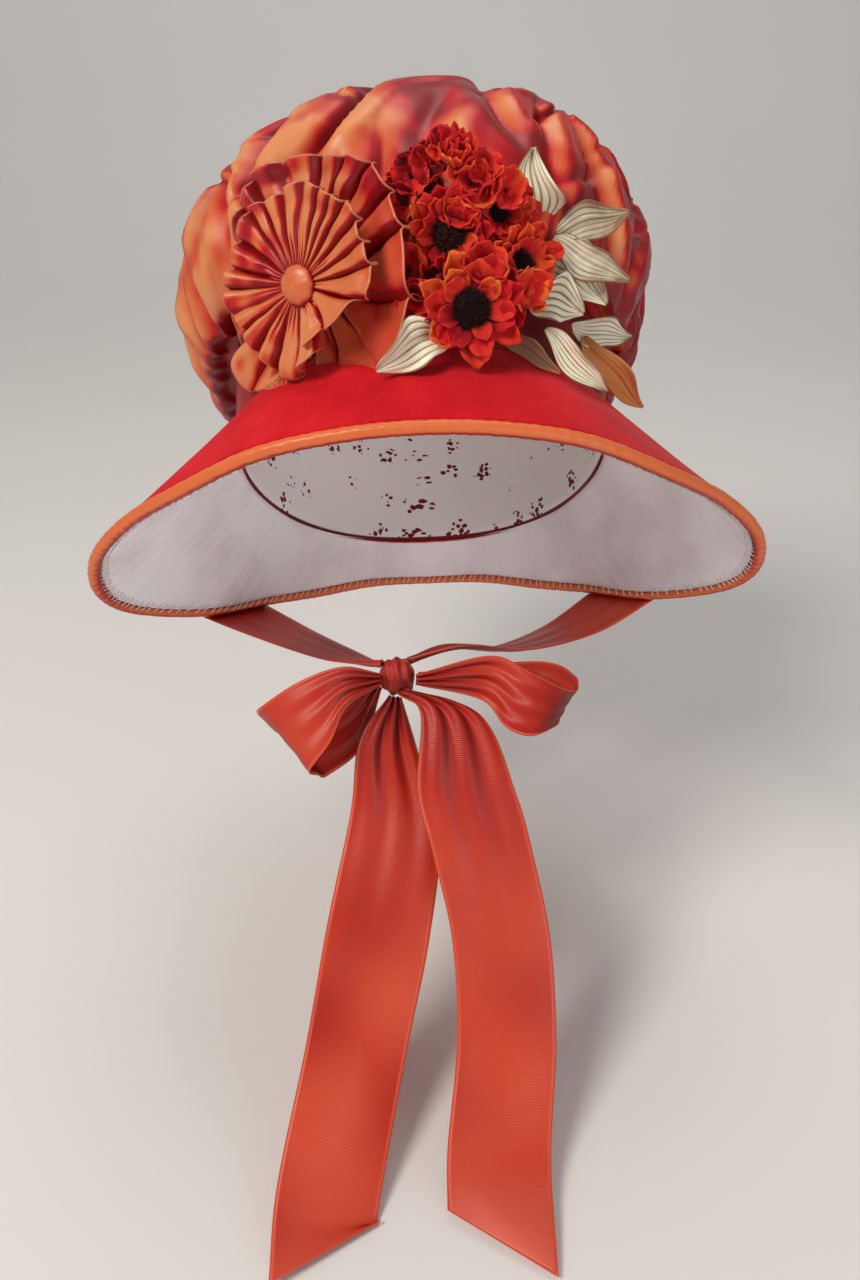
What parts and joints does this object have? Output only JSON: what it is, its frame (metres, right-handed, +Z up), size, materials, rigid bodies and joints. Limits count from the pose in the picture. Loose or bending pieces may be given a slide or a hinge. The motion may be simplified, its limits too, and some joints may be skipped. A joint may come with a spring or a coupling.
{
  "type": "ribbon-tied bonnet",
  "caption": "Bonnet with a flared felt brim, piped edge, gathered silk crown, pleated cockade, cloth flower spray and wide ribbon ties knotted in a bow.",
  "frame": {"origin": "middle of the head opening, where the brim meets the crown band", "axes": "+X to the wearer's left, -Y the way the wearer faces, +Z up as worn"},
  "size_m": [0.332, 0.4392, 0.4589],
  "materials": {
    "red_felt": "matt felt",
    "binding_silk": "satin piping",
    "white_cotton": "plain weave",
    "band_silk": "satin",
    "shot_silk": "shot silk",
    "ribbon_satin": "satin",
    "print_cotton": "printed plain weave",
    "petal_red": "matt cloth",
    "fuzz_brown": "fuzzy",
    "leaf_cream": "matt cloth"
  },
  "bodies": {
    "root": {"bow_knot": "ribbon_satin", "bow_loop_left": "ribbon_satin", "bow_loop_right": "ribbon_satin", "brim": "red_felt", "brim_binding": "binding_silk", "brim_lining": "white_cotton", "cockade_button": "shot_silk", "cockade_inner": "shot_silk", "cockade_outer": "shot_silk", "crown": "shot_silk", "crown_band": "band_silk", "crown_lining": "print_cotton", "flower_bud": "petal_red", "flower_daisy_brown": "petal_red", "flower_daisy_brown_middle": "fuzz_brown", "flower_daisy_front": "petal_red", "flower_daisy_front_middle": "fuzz_brown", "flower_daisy_side": "petal_red", "flower_daisy_side_middle": "fuzz_brown", "flower_daisy_top": "petal_red", "flower_daisy_top_middle": "fuzz_brown", "flower_posy": "petal_red", "flower_trumpet": "petal_red", "leaf_drooping": "leaf_cream", "leaf_left": "leaf_cream", "leaf_low": "leaf_cream", "leaf_orange": "leaf_cream", "leaf_short": "leaf_cream", "leaf_side": "leaf_cream", "leaf_side_brown": "leaf_cream", "leaf_tall": "leaf_cream", "leaf_tall_small": "leaf_cream", "leaf_thin_brown": "leaf_cream", "leaf_upper": "leaf_cream", "tail_left": "ribbon_satin", "tail_right": "ribbon_satin", "tie_left": "ribbon_satin", "tie_right": "ribbon_satin"}
  },
  "joints": []
}
